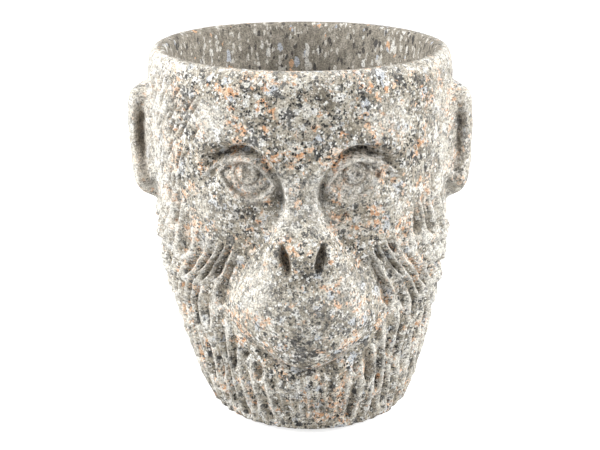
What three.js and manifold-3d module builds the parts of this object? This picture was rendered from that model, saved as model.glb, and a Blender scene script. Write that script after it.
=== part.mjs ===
// A cachepot cast in speckled cement as an ape's head: one heavy casting with an open bowl for a grow
// pot, a thin waterproof coat inside the bowl, and four soft pads under the base.
// Millimetres, +Z up. The face looks along -Y. The origin is the middle of the footprint, on the table.
import * as THREE from "three";
import { mergeVertices } from "three/addons/utils/BufferGeometryUtils.js";
import Module from "manifold-3d";

// Head casting: the plain form that the face is raised from
const bodyHeight = 175.5; // underside of the base to the crest of the lip
const lipRadius = 75; // outside of the round top, from the bowl's axis
const baseHalfWidth = 50.3; // base, from its middle to either side
const baseFront = 65.5; // base, from the axis to the beard
const baseBack = 53; // base, from the axis to the nape
const taperPower = 2.7; // how late the sides swing in towards the base
const baseShift = 4.8; // the base stands this far to the head's left of the bowl's axis
const shiftPower = 2; // how late the head bends over to it
const baseRound = 2; // rounded lower edge
const lipDrop = 13; // height of the long round from the side up to the crest of the lip
const lipInset = 5.5; // how far that round draws the crest in, in front
const lipInsetBack = 3; // and at the back

// Bowl
const lipWall = 9.5; // wall below the lip's round
const lipInnerRound = 3; // rounded inner edge of the lip
const floorThickness = 12;
const bowlFloorRadius = 45;
const bowlFillet = 10; // between the floor and the wall

// Levels of the face, as shares of the body's height, so that a taller head has a longer face
const eyeLevel = 0.714;
const irisLevel = 0.731;
const lidFoldLevel = 0.767;
const socketLevel = 0.657;
const pouchLevel = 0.585;
const templeLevel = 0.87;
const nostrilLevel = 0.52;
const noseTipLevel = 0.525;
const mouthLevel = 0.199;
const chinLevel = 0.15;
const earLevel = 0.563; // lobe
const faceTurn = 0.5; // cosine of the turn to the side where the face starts to fade out

// Eye sockets: one ellipse on each side of the nose, a trench round the eyeball and the pouch under it
const socketSpacing = 28; // from the middle line
const socketHalfWidth = 21;
const socketHalfHeight = 27.3;
const socketDepth = 10.5;
const socketLowShare = 0.65; // of that depth, in the lower part
const socketLowEnd = -0.6; // in half-heights of the socket, where the lower part ends
const socketFullFrom = 0.2; // and where the full depth starts
const socketEdge = 5; // width of the steep wall
const browSlope = 9; // width of the softer wall under the outer end of the brow
const socketSlope = 5; // how far the lower end swings outwards
const socketSwing = 1.3; // how late it does
const socketAim = 2.53; // radians from straight outwards, the direction of the deepest side
const socketShallow = 0.85; // how far out, in socket widths, the trench runs out
const socketRunOut = 1.4; // over what share of the socket it does
const filledShare = 0.9; // of the trench, under the eyeball and the pouch
const ballHalfWidth = 13;
const ballHalfHeight = 10.4;
const ballSlope = 0.5; // share of the ball's size over which it falls into the trench
const browHeight = 1.8;
const browWidth = 4;
const pouchSpacing = 30;
const pouchRadius = 17;
const pouchInner = 21; // its reach towards the nose and the eye
const pouchSlope = 0.5; // share of the pouch's size over which it falls off
const pouchHeight = 1.5; // above the cheek
const templeHeight = 1.8; // the low boss above the outer end of each brow
const templeSpacing = 40;
const templeRadius = 13;

// Eyes
const eyeSpacing = 25.2; // from the middle line
const eyeballRadius = 16;
const eyeballStand = 2.2; // how far the ball stands out between the lids
const irisSpacing = 24.8;
const irisRadius = 5.5;
const irisRelief = 0.5;
const lidThickness = 3.2;
const lidSink = 0.25; // share of a lid's thickness set into the face
const foldSpacing = 28.6; // highest point of the upper lid, from the middle line
const foldReach = 17.4; // from there to its ends
const foldInnerDrop = 12.6;
const foldOuterDrop = 10.4;
const lowerLidReach = 12.4;
const lowerLidDrop = 9;

// Snout: bridge, nose and muzzle as one mass, from between the brows down to the mouth
const snout = [
  { level: 0.764, halfWidth: 10.5, stand: 0 },
  { level: 0.667, halfWidth: 7.2, stand: 2.2 },
  { level: 0.587, halfWidth: 12.8, stand: 7.8 },
  { level: 0.513, halfWidth: 22.6, stand: 13.2 },
  { level: 0.444, halfWidth: 30.6, stand: 15.2 },
  { level: 0.36, halfWidth: 36, stand: 17.2 },
  { level: 0.279, halfWidth: 31, stand: 14.4 },
  { level: 0.234, halfWidth: 20.5, stand: 9.6 },
  { level: 0.197, halfWidth: 5, stand: 2 },
];
const bridgeSquareness = 4.5; // power of the cross-section: a high one is flat with steep sides
const muzzleSquareness = 2.4;
const snoutFullness = 0.7;
const padHeight = 2.2; // the nose's pad
const padHalfWidth = 9;
const padHalfHeight = 8;
const wingSpacing = 13.5; // the rims outside the nostrils
const wingHeight = 1.7;
const wingWidth = 3.2;
const nostrilSpacing = 8; // from the middle line
const nostrilHeight = 14.5;
const nostrilWidth = 4.6;
const nostrilDepth = 5;
const nostrilLean = 0.24; // radians, the lower ends drawn together
const mouthWidth = 2.4;
const mouthDepth = 1.8;
const mouthHalfLength = 30;
const mouthRise = 17; // from the middle of the mouth to its corners
const mouthCorner = 0.33; // share of the half-length over which the corners run out
const lowerLipHeight = 2;
const lowerLipDrop = 6; // below the groove
const lowerLipWidth = 3.6;
const chinStand = 7;
const chinHalfWidth = 27;
const chinHalfHeight = 15;

// Hair: locks that run down the cheeks, the beard and the back of the head
const lockCount = 50;
const lockDepth = 4.2; // of the gouges between the locks' crests
const lockCrest = 0.34; // share of that depth that stands out beyond the plain head
const lockVariety = 0.35; // share by which gouges differ in depth
const groovePower = 1.1; // how narrow the crests are
const frontCrowding = 0.5; // the locks are drawn towards the face
const fanTurn = 0.27; // radians that the locks swing outwards and inwards over the cheeks
const fanLevel = 0.42;
const fanReach = 0.14;
const lockWobble = 0.5; // of a lock's width
const wobbleRound = 5;
const wobbleHeight = 21;
const gougeHeight = 27;
const gougeBack = 1.9; // how many times higher the gouges are at the back of the head
const backFrom = 2.1; // steps round the head, in radians, where they start to grow
const backFade = 0.6;
const gougeRound = 0.2; // share of a gouge that its lower end is rounded over
const gougeTaper = 0.5; // how much shallower it is at its upper end
const gougePoint = 0.15; // share of its height by which it reaches further down in its middle
const lumpDepth = 4.4; // short tufts on the sides of the cheeks
const lumpHeight = 12.65;
const lumpTip = 0.16; // share of a tuft that its lower end is rounded over
const lumpMiddle = 0.25; // share of a tuft's depth that lies inside the plain head
const lumpPoint = 0.2;
const lumpStagger = 0.35; // of a tuft's height, between neighbours
const lumpStart = { left: 0.62, right: 0.33 }; // of a tuft's height, where each side's lowest row is cut
const lumpAround = 98; // round the head from the middle line
const lumpReach = 30;
const lumpLevel = 0.42;
const lumpTall = 0.17;
const templeLow = 0.58; // the hair is flatter above this level, in front of the back of the head
const templeRise = 0.1;
const templeBack = 120;
const templeFade = 20;
const templeDepth = 0.3;
const lipFade = 8; // the locks run out below the lip
const baseHair = 0.3; // share of the locks' depth left at the very base
const baseHairFade = 12; // height over which they grow to their full depth
const hairEdge = 4; // over which the locks rise from the skin
const chinHair = 0.15; // share of the depth on the chin
const chinHairFade = 8;
const bareFace = [
  { level: 0, halfWidth: 15 },
  { level: 0.1, halfWidth: 16 },
  { level: 0.15, halfWidth: 17.5 },
  { level: 0.18, halfWidth: 20 },
  { level: 0.2, halfWidth: 24 },
  { level: 0.23, halfWidth: 29 },
  { level: 0.26, halfWidth: 33.5 },
  { level: 0.3, halfWidth: 36.5 },
  { level: 0.36, halfWidth: 36.5 },
  { level: 0.42, halfWidth: 34 },
  { level: 0.505, halfWidth: 30.5 },
  { level: 0.525, halfWidth: 37 },
  { level: 0.55, halfWidth: 48 },
  { level: 0.6, halfWidth: 54 },
  { level: 0.8, halfWidth: 56 },
  { level: 0.96, halfWidth: 62 },
];

// Ears: a plan that starts in front on the side of the head, with a groove behind the front edge of the helix
const earHeight = 59.8;
const earReach = 11; // beyond the side of the head
const earFront = 1.22; // radians from the middle of the face
const earPlan = [
  { along: 0, away: 0, hollow: 0 },
  { along: 5, away: 0.07, hollow: 0 },
  { along: 10, away: 0.24, hollow: 0 },
  { along: 12.6, away: 0.36, hollow: 2.4 },
  { along: 13.2, away: 0.46, hollow: 3.8 },
  { along: 12.8, away: 0.56, hollow: 1.2 },
  { along: 13.4, away: 0.72, hollow: 0 },
  { along: 16.5, away: 0.94, hollow: 0 },
  { along: 21, away: 1, hollow: 0 },
  { along: 25, away: 0.9, hollow: 0 },
  { along: 27.6, away: 0.62, hollow: 0 },
  { along: 28.6, away: 0.3, hollow: 0 },
  { along: 31, away: 0.08, hollow: 0 },
  { along: 40, away: 0, hollow: 0 },
];
const earCurl = 60; // how far the helix swings forward, per square of the share of the height from its middle
const curlMiddle = 0.58;
const curlMost = 8;
const curlFrom = 13; // along the plan, where the full swing starts
const earMiddle = 18; // along the plan, of the oval that the ear keeps to seen from the side
const earHalfWidth = 20;
const earOvalMiddle = 0.52; // shares of the ear's height
const earOvalHalfHeight = 0.6;
const earOvalEdge = 0.25; // share of the oval over which the ear falls off
const earSink = 0.4; // below the head's skin, at the ear's edges
const earRoot = 7; // how deep the ear goes into the head
const lobePower = 10; // how fast the ear fills out above the lobe
const earTopPower = 14; // how late it rounds off at the top
const earTopRound = 0.55;
const hollowLow = 0.4; // shares of the ear's height between which the groove runs
const hollowHigh = 0.81;
const hollowEnd = 0.12; // share of the height over which it runs out
const hollowRight = 0.3; // share of the groove's depth on the ear at the head's left, seen on the right

// Waterproof coat
const coatThickness = 0.8;
const coatHeight = 100; // above the bowl's floor
const coatGap = 0.3;

// Pads
const padDiameter = 16;
const padThickness = 2;
const padGap = 0.1; // the film of glue
const padCircle = 38; // from the axis to the middle of a pad

// Steps of the surfaces
const columnsPerLock = 2;
const bodyRows = 38;
const lipRows = 4;
const earRows = 12;
const lidSteps = 8;
const lidSides = 6;
const ballSegments = 16;
const bowlSegments = 72;
const arcSteps = 3;
const padSegments = 32;

const wasm = await Module();
wasm.setup();

const ease = (t) => THREE.MathUtils.smoothstep(t, 0, 1);
const bell = (t) => Math.exp(-t * t);
const level = (share) => share * bodyHeight;
const mix = THREE.MathUtils.lerp;

// A steady number from 0 to 1 for each whole number.
const scatter = (n) => THREE.MathUtils.euclideanModulo(Math.sin(n * 127.1 + 11.7) * 43758.5453, 1);

// Slow waves that never repeat on the pot, about -1 to 1.
function wander(a, b) {
  const first = Math.sin(1.7 * a + 2.1 * Math.sin(1.3 * b + 0.4));
  const second = Math.sin(2.3 * b + 1.6 * Math.sin(0.9 * a + 2.2));
  return (first + second) / 2;
}

// A row of tufts from below upwards, each standing out above its lower end and lying down towards its top.
function tufts(t) {
  const up = t - Math.floor(t);
  return (1 - up) * ease(up / lumpTip);
}

// A smooth curve over the body's height through the values of stations set from the top or the bottom.
function curveOver(stations, value) {
  const rising = [...stations].sort((first, second) => first.level - second.level);
  const heights = rising.map((station) => level(station.level));
  return new THREE.CubicInterpolant(heights, rising.map((station) => station[value]), 1);
}
const snoutWidth = curveOver(snout, "halfWidth");
const snoutStand = curveOver(snout, "stand");
const bareWidth = curveOver(bareFace, "halfWidth");

// How far the section at a height has been drawn in from the round top: 0 at the lip, 1 at the base.
function narrowing(z) {
  return Math.pow(1 - z / bodyHeight, taperPower);
}

// The plain section at a height: half its width, and its depth to the front and to the back.
function plainSection(z) {
  const drawn = narrowing(z);
  return {
    side: mix(lipRadius, baseHalfWidth, drawn),
    front: mix(lipRadius, baseFront, drawn),
    back: mix(lipRadius, baseBack, drawn),
  };
}

// Brow, trench of the socket and the pouch under the eye, on the side of the face that x is on.
function socketRelief(x, z) {
  const up = (z - level(socketLevel)) / socketHalfHeight;
  const middle = socketSpacing + socketSlope * Math.max(0, -up) ** socketSwing;
  const across = (Math.abs(x) - middle) / socketHalfWidth;
  const ring = Math.hypot(across, up);
  const towards = across * Math.cos(socketAim) + up * Math.sin(socketAim);
  const share = mix(socketLowShare, 1, ease((up - socketLowEnd) / (socketFullFrom - socketLowEnd)));
  const deep = socketDepth * share * ease((towards + socketShallow) / socketRunOut);
  const wall = mix(socketEdge, browSlope, ease(2 * across) * ease(2 * up));
  const inside = ease(((1 - ring) * socketHalfWidth) / wall);
  const overEye = (z - level(eyeLevel)) / ballHalfHeight;
  const fromEye = Math.hypot((Math.abs(x) - eyeSpacing) / ballHalfWidth, overEye);
  const ball = 1 - ease((fromEye - 1 + ballSlope / 4) / ballSlope);
  const outwards = Math.abs(x) - pouchSpacing;
  const above = z - level(pouchLevel);
  const beside = outwards / (outwards < 0 ? pouchInner : pouchRadius);
  const fromPouch = Math.hypot(beside, above / (above > 0 ? pouchInner : pouchRadius));
  const pouch = 1 - ease((fromPouch - 1 + pouchSlope / 2) / pouchSlope);
  const hollow = deep * inside * (1 - filledShare * (1 - (1 - ball) * (1 - pouch)));
  const outside = (ring - 1) * socketHalfHeight;
  const brow = browHeight * bell((outside - browWidth / 2) / browWidth) * ease(2 * up);
  const templeAway = Math.hypot(Math.abs(x) - templeSpacing, z - level(templeLevel));
  return brow + templeHeight * bell(templeAway / templeRadius) + pouchHeight * pouch - hollow;
}

// The snout is flat on top and round at the sides, squarer on the bridge than on the muzzle.
function snoutRelief(x, z) {
  const top = level(snout[0].level);
  const bottom = level(snout[snout.length - 1].level);
  const pad = padHeight * bell(x / padHalfWidth) * bell((z - level(noseTipLevel)) / padHalfHeight);
  const beside = bell((Math.abs(x) - wingSpacing) / wingWidth);
  const wing = wingHeight * beside * bell((z - level(noseTipLevel)) / padHalfHeight);
  if (z >= top || z <= bottom) return pad + wing;
  const across = Math.min(1, Math.abs(x) / snoutWidth.evaluate(z)[0]);
  const bridge = ease((z - level(noseTipLevel)) / (2 * padHalfHeight));
  const square = mix(muzzleSquareness, bridgeSquareness, bridge);
  return snoutStand.evaluate(z)[0] * Math.pow(1 - across ** square, snoutFullness) + pad + wing;
}

// The groove of the mouth under the muzzle, the lower lip under the groove, and the chin.
function mouthRelief(x, z) {
  const along = x / mouthHalfLength;
  const line = level(mouthLevel) + mouthRise * along * along;
  const inMouth = ease((1 - Math.abs(along)) / mouthCorner);
  const groove = mouthDepth * bell((z - line) / mouthWidth);
  const lip = lowerLipHeight * bell((z - line + lowerLipDrop) / lowerLipWidth);
  const chin = chinStand * bell(x / chinHalfWidth) * bell((z - level(chinLevel)) / chinHalfHeight);
  return (lip - groove) * inMouth + chin;
}

// How much of a place is covered by hair: 0 on the bare face, 1 on the beard, the cheeks and the back.
function hairCover(x, z, turn) {
  if (Math.abs(turn) > Math.PI / 2) return 1;
  const chin = chinHair * ease((level(mouthLevel) - z) / chinHairFade);
  return Math.max(chin, ease((Math.abs(x) - bareWidth.evaluate(z)[0]) / hairEdge + 0.5));
}

// The angle round the head of a line between the locks, which fan out over the cheeks as they fall.
function lockTurn(step, z) {
  const sway = Math.tanh((level(fanLevel) - z) / level(fanReach));
  const fan = fanTurn * Math.sin(step) * Math.abs(Math.sin(step)) * sway;
  const waver = Math.sin(step) * wander(wobbleRound * Math.abs(step), z / wobbleHeight);
  return step - frontCrowding * Math.sin(step) + fan + lockWobble * ((2 * Math.PI) / lockCount) * waver;
}

// The ears keep the hair off the place that they grow from.
function besideEar(turn, z) {
  const across = ((Math.abs(turn) - earFront) * plainSection(z).side - earMiddle) / earHalfWidth;
  const up = (z - level(earLevel)) / (earHeight / 2) - 1;
  return ease((Math.hypot(across, up) - 1) / earOvalEdge);
}

// Gouges side by side round the head with narrow crests between them, and short tufts on the cheeks' sides.
function hairRelief(phase, around, z) {
  const cell = Math.floor(phase);
  const across = Math.abs(2 * (phase - cell) - 1);
  const round = Math.abs(cell + 0.5) * ((2 * Math.PI) / lockCount);
  const height = gougeHeight * mix(1, gougeBack, ease((round - backFrom) / backFade));
  const place = z / height + scatter(cell) - gougePoint * across;
  const up = place - Math.floor(place);
  const variety = 1 + lockVariety * (scatter(cell + 9 * Math.floor(place)) - 0.5);
  const deep = (1 - across ** groovePower) * ease(up / gougeRound) * (1 - gougeTaper * up) * variety;
  const locks = lockDepth * (lockCrest - deep);
  const stagger = lumpStagger * scatter(1.7 * Math.floor(cell / 2));
  const start = (cell < 0 ? lumpStart.left : lumpStart.right) + stagger;
  const lump = tufts(z / lumpHeight + start - lumpPoint * across) - lumpMiddle;
  const outer = bell((around - lumpAround) / lumpReach) * bell((z - level(lumpLevel)) / level(lumpTall));
  const inFront = 1 - ease((around - templeBack) / templeFade);
  const temple = inFront * ease((z - level(templeLow)) / level(templeRise));
  const fade = ease((bodyHeight - lipDrop / 2 - z) / lipFade) * mix(baseHair, 1, ease(z / baseHairFade));
  return (locks * mix(1, templeDepth, temple) + lumpDepth * outer * lump) * fade;
}

// One point of the head's outside. The step goes once round the head, with -pi and pi at the back.
function headPoint(step, z) {
  const turn = lockTurn(step, z);
  const section = plainSection(z);
  const depth = Math.cos(turn) > 0 ? section.front : section.back;
  const outward = new THREE.Vector3(Math.sin(turn), -Math.cos(turn), 0);
  const point = new THREE.Vector3(section.side * outward.x, depth * outward.y, z);
  const cover = hairCover(point.x, z, turn);
  const phase = (step / (2 * Math.PI)) * lockCount;
  const hair = cover * besideEar(turn, z) * hairRelief(phase, Math.abs(turn) * section.side, z);
  const facing = ease(Math.cos(turn) / faceTurn);
  const skin = socketRelief(point.x, z) + snoutRelief(point.x, z) + mouthRelief(point.x, z);
  point.addScaledVector(outward, hair);
  point.y -= skin * facing;
  return point;
}

// Where the face's surface lies at a place seen from the front.
function faceDepth(x, z) {
  const section = plainSection(z);
  const round = Math.sqrt(1 - (x / section.side) ** 2);
  const facing = ease(round / faceTurn);
  return -section.front * round - (socketRelief(x, z) + snoutRelief(x, z)) * facing;
}

// A closed skin over rings of equal length, with a middle point at each end.
function skinOver(rings, firstMiddle, lastMiddle) {
  const count = rings[0].length;
  const points = [firstMiddle, ...rings.flat(), lastMiddle];
  const last = points.length - 1;
  const faces = [];
  for (let column = 0; column < count; column++) {
    const next = (column + 1) % count;
    faces.push(0, 1 + next, 1 + column);
    for (let ring = 0; ring < rings.length - 1; ring++) {
      const low = 1 + ring * count;
      const high = low + count;
      const rising = points[low + column].distanceTo(points[high + next]);
      const falling = points[low + next].distanceTo(points[high + column]);
      if (rising <= falling) {
        faces.push(low + column, low + next, high + next, low + column, high + next, high + column);
      } else {
        faces.push(low + column, low + next, high + column, low + next, high + next, high + column);
      }
    }
    const top = last - count;
    faces.push(last, top + column, top + next);
  }
  const geometry = new THREE.BufferGeometry().setFromPoints(points);
  geometry.setIndex(faces);
  return geometry;
}

function toManifold(geometry) {
  const bare = new THREE.BufferGeometry();
  bare.setAttribute("position", geometry.getAttribute("position"));
  bare.setIndex(geometry.getIndex());
  const merged = mergeVertices(bare, 1e-4);
  return new wasm.Manifold(
    new wasm.Mesh({
      numProp: 3,
      vertProperties: new Float32Array(merged.getAttribute("position").array),
      triVerts: new Uint32Array(merged.getIndex().array),
    }),
  );
}

function toGeometry(solid) {
  const mesh = solid.getMesh();
  const geometry = new THREE.BufferGeometry();
  geometry.setAttribute("position", new THREE.BufferAttribute(mesh.vertProperties, 3));
  geometry.setIndex(new THREE.BufferAttribute(mesh.triVerts, 1));
  geometry.computeVertexNormals();
  return geometry;
}

// A point moved towards the axis by an amount and set at a height.
function drawnIn(point, amount, z) {
  const flat = new THREE.Vector2(point.x, point.y);
  flat.setLength(flat.length() - amount);
  return new THREE.Vector3(flat.x, flat.y, z);
}

// The head as a solid block, before the bowl is taken out of it.
function headBlock() {
  const columns = lockCount * columnsPerLock;
  const shoulder = bodyHeight - lipDrop;
  const steps = Array.from({ length: columns }, (_, i) => -Math.PI + (2 * Math.PI * i) / columns);
  const ringAt = (z) => steps.map((step) => headPoint(step, z));
  const rings = [ringAt(baseRound).map((point) => drawnIn(point, baseRound, 0))];
  for (let row = 0; row <= bodyRows; row++) rings.push(ringAt(mix(baseRound, shoulder, row / bodyRows)));
  for (let row = 1; row <= lipRows; row++) {
    const angle = (Math.PI / 2) * (row / lipRows);
    const z = shoulder + lipDrop * Math.sin(angle);
    const ring = ringAt(z).map((point) => {
      const behind = ease((1 + point.y / Math.hypot(point.x, point.y)) / 2);
      const amount = mix(lipInset, lipInsetBack, behind) * (1 - Math.cos(angle));
      return drawnIn(point, amount, z);
    });
    rings.push(ring);
  }
  const under = new THREE.Vector3(0, 0, 0);
  const top = new THREE.Vector3(0, 0, bodyHeight);
  return toManifold(skinOver(rings, under, top));
}

// Radius of the bowl's plain wall at a height.
function bowlRadius(z) {
  const lipInside = lipRadius - lipWall;
  return mix(bowlFloorRadius, lipInside, (z - floorThickness) / (bodyHeight - floorThickness));
}

// Half-section of the bowl, drawn in by an inset: floor, fillet and wall up to a height.
function bowlSection(inset, topHeight) {
  const floor = floorThickness + inset;
  const round = Math.max(1, bowlFillet - inset);
  const lean = Math.atan2(lipRadius - lipWall - bowlFloorRadius, bodyHeight - floorThickness);
  const drawn = inset / Math.cos(lean);
  const middleRadius = bowlRadius(floor + round) - drawn - round / Math.cos(lean);
  const points = [new THREE.Vector2(0, floor)];
  for (let step = 0; step <= arcSteps; step++) {
    const angle = mix(-Math.PI / 2, -lean, step / arcSteps);
    const radius = middleRadius + round * Math.cos(angle);
    points.push(new THREE.Vector2(radius, floor + round + round * Math.sin(angle)));
  }
  points.push(new THREE.Vector2(bowlRadius(topHeight) - drawn, topHeight));
  return points;
}

// What is taken out for the bowl, with the rounded inner edge of the lip.
function bowlCut() {
  const points = bowlSection(0, bodyHeight - lipInnerRound);
  const rim = points[points.length - 1];
  for (let step = 1; step <= arcSteps; step++) {
    const angle = (Math.PI / 2) * (step / arcSteps);
    const out = lipInnerRound * (1 - Math.cos(angle));
    points.push(new THREE.Vector2(rim.x + out, rim.y + lipInnerRound * Math.sin(angle)));
  }
  const mouth = points[points.length - 1].x;
  points.push(new THREE.Vector2(mouth, bodyHeight + lipInnerRound));
  points.push(new THREE.Vector2(0, bodyHeight + lipInnerRound));
  return toManifold(lathe(points));
}

function lathe(points) {
  const geometry = new THREE.LatheGeometry(points, bowlSegments);
  geometry.rotateX(Math.PI / 2);
  return geometry;
}

// One ear: its plan at each level from the lobe to the top, rooted in the side of the head.
function earSolid(side) {
  const rings = [];
  for (let row = 0; row <= earRows; row++) {
    const share = row / earRows;
    const z = level(earLevel) + share * earHeight;
    const around = plainSection(z).side;
    const size = (1 - (1 - share) ** lobePower) * (1 - share ** earTopPower) ** earTopRound;
    const between = ease((share - hollowLow) / hollowEnd) * ease((hollowHigh - share) / hollowEnd);
    const hollow = between * (side > 0 ? hollowRight : 1);
    const inOval = (along) => {
      const up = (share - earOvalMiddle) / earOvalHalfHeight;
      return ease((1 - Math.hypot((along - earMiddle) / earHalfWidth, up)) / earOvalEdge);
    };
    const place = (along, away) => {
      const turn = earFront + along / around;
      return new THREE.Vector3((around + away) * Math.sin(turn), -(around + away) * Math.cos(turn), z);
    };
    const swing = Math.min(curlMost, earCurl * (share - curlMiddle) ** 2);
    const ring = earPlan.map((point) => {
      const along = point.along - swing * ease(point.along / curlFrom);
      return place(along + hollow * point.hollow, point.away * earReach * size * inOval(along) - earSink);
    });
    ring.push(place(earPlan[earPlan.length - 1].along, -earRoot), place(earPlan[0].along, -earRoot));
    rings.push(ring);
  }
  const middles = [rings[0], rings[earRows]].map((ring) => {
    const sum = ring.reduce((total, point) => total.add(point), new THREE.Vector3());
    return sum.divideScalar(ring.length);
  });
  const solid = toManifold(skinOver(rings, middles[0], middles[1]));
  return side > 0 ? solid : solid.mirror([1, 0, 0]);
}

function eyeMiddle() {
  const z = level(eyeLevel);
  return new THREE.Vector3(eyeSpacing, faceDepth(eyeSpacing, z) + eyeballRadius - eyeballStand, z);
}

// The front of an eyeball at a place seen from the front, or the face where the ball doesn't reach.
function eyeFront(x, z) {
  const middle = eyeMiddle();
  const away = Math.hypot(x - middle.x, z - middle.z);
  const bulge = Math.sqrt(Math.max(0, eyeballRadius ** 2 - away ** 2));
  const ball = away < eyeballRadius ? middle.y - bulge : 0;
  return Math.min(ball, faceDepth(x, z));
}

// One eyelid: a round fold on an arch, given by its middle, its reach and the drop to each end.
function lidSolid(x, z, reach, innerDrop, outerDrop) {
  const points = [];
  for (let step = 0; step <= lidSteps; step++) {
    const along = (2 * step) / lidSteps - 1;
    const drop = (along < 0 ? innerDrop : outerDrop) * along * along;
    const place = new THREE.Vector2(x + along * reach, z - drop);
    points.push(new THREE.Vector3(place.x, eyeFront(place.x, place.y) + lidSink * lidThickness, place.y));
  }
  const outline = new THREE.Shape().absellipse(0, 0, lidThickness / 2, lidThickness / 2, 0, 2 * Math.PI);
  const path = new THREE.CatmullRomCurve3(points);
  const fold = { steps: lidSteps, curveSegments: lidSides / 2, extrudePath: path, bevelEnabled: false };
  return toManifold(new THREE.ExtrudeGeometry(outline, fold));
}

// One eye: the ball, a low disc for the iris, and both lids.
function eyeSolid(side) {
  const middle = eyeMiddle();
  const ball = new THREE.SphereGeometry(eyeballRadius, ballSegments, ballSegments / 2);
  ball.rotateX(Math.PI / 2);
  ball.translate(middle.x, middle.y, middle.z);
  const iris = new THREE.CylinderGeometry(irisRadius, irisRadius, eyeballRadius, ballSegments);
  const irisFront = eyeFront(irisSpacing, level(irisLevel)) - irisRelief;
  iris.translate(irisSpacing, irisFront + eyeballRadius / 2, level(irisLevel));
  const upper = lidSolid(foldSpacing, level(lidFoldLevel), foldReach, foldInnerDrop, foldOuterDrop);
  const lowest = level(eyeLevel) - lowerLidDrop;
  const lower = lidSolid(eyeSpacing, lowest, lowerLidReach, -lowerLidDrop, -lowerLidDrop);
  const solid = toManifold(ball).add(toManifold(iris)).add(upper).add(lower);
  return side > 0 ? solid : solid.mirror([1, 0, 0]);
}

// What is taken out for a nostril.
function nostrilCut(side) {
  const geometry = new THREE.SphereGeometry(1, ballSegments, ballSegments / 2);
  geometry.scale(nostrilWidth / 2, nostrilDepth, nostrilHeight / 2);
  geometry.rotateY(side * nostrilLean);
  const z = level(nostrilLevel);
  const x = side * nostrilSpacing;
  geometry.translate(x, faceDepth(x, z), z);
  return toManifold(geometry);
}

// How far a level of the head lies to one side of the bowl's axis.
function sideShift(z) {
  return baseShift * (1 - z / bodyHeight) ** shiftPower;
}

function headCasting() {
  let solid = headBlock();
  for (const side of [-1, 1]) {
    solid = solid.add(earSolid(side)).add(eyeSolid(side)).subtract(nostrilCut(side));
  }
  const geometry = toGeometry(solid);
  const position = geometry.getAttribute("position");
  for (let i = 0; i < position.count; i++) position.setX(i, position.getX(i) + sideShift(position.getZ(i)));
  return toGeometry(toManifold(geometry).subtract(bowlCut()));
}

// The coat lines the floor and the lower part of the bowl's wall.
function waterproofCoat() {
  const top = floorThickness + coatHeight;
  const outer = bowlSection(coatGap, top);
  const inner = bowlSection(coatGap + coatThickness, top);
  return toGeometry(toManifold(lathe([...outer, ...inner.reverse()])));
}

function padDisc() {
  const geometry = new THREE.CylinderGeometry(padDiameter / 2, padDiameter / 2, padThickness, padSegments);
  geometry.rotateX(Math.PI / 2);
  return geometry;
}

const cement = new THREE.MeshStandardMaterial({ color: 0xb9b4ab, roughness: 0.85, metalness: 0 });
const sealer = new THREE.MeshStandardMaterial({ color: 0x8d867d, roughness: 0.45, metalness: 0 });
const foam = new THREE.MeshStandardMaterial({ color: 0x3a3836, roughness: 0.95, metalness: 0 });

function namedMesh(name, geometry, material) {
  const mesh = new THREE.Mesh(geometry, material);
  mesh.name = name;
  return mesh;
}

const cachepot = new THREE.Group();
const head = namedMesh("head_casting", headCasting(), cement);
head.geometry.computeBoundingBox();
const footprint = head.geometry.boundingBox.getCenter(new THREE.Vector3());
const stand = padThickness + padGap;
const upright = new THREE.Group();
upright.position.set(-footprint.x, -footprint.y, stand);
upright.add(head);
upright.add(namedMesh("waterproof_coat", waterproofCoat(), sealer));
for (const front of [true, false]) {
  for (const left of [true, false]) {
    const name = `foot_pad_${front ? "front" : "back"}_${left ? "left" : "right"}`;
    const pad = namedMesh(name, padDisc(), foam);
    const reach = padCircle / Math.SQRT2;
    const across = sideShift(0) + (left ? -reach : reach);
    pad.position.set(across, front ? -reach : reach, -padGap - padThickness / 2);
    upright.add(pad);
  }
}
cachepot.add(upright);

export default cachepot;
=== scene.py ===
import math
import bpy
import numpy as np
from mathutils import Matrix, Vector


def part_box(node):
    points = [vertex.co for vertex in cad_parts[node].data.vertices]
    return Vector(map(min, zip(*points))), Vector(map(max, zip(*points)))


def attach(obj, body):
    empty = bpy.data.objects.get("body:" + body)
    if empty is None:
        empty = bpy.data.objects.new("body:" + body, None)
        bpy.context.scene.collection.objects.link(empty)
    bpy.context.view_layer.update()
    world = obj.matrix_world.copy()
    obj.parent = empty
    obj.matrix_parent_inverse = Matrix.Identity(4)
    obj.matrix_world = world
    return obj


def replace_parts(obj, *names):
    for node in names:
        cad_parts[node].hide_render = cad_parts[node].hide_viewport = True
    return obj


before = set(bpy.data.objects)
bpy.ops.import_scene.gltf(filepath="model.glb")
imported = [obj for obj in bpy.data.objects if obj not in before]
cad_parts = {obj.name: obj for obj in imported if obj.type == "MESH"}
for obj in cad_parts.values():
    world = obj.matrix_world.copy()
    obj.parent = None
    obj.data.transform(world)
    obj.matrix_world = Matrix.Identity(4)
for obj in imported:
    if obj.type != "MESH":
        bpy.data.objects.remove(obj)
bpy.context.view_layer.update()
mm = 0.001  # the shapes below are worked out in millimetres, the meshes are in metres

headLow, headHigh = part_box("head_casting")
coatLow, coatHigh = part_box("waterproof_coat")
stand = headLow.z / mm  # the pads hold the casting this far off the table
bodyHeight = (headHigh.z - headLow.z) / mm
axisX = (coatLow.x + coatHigh.x) / 2 / mm  # the bowl's axis, behind the middle of the footprint
axisY = (coatLow.y + coatHigh.y) / 2 / mm
print("frame loaded, body", round(bodyHeight, 1), "mm high, bowl's axis at y", round(axisY, 2))


# small helpers

def ease(t):  # 0 below 0, 1 above 1, an s-curve between
    t = np.clip(t, 0, 1)
    return t * t * (3 - 2 * t)


def past(value, start, span):  # 0 up to a start, 1 a span further on
    return ease((value - start) / span)


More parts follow.
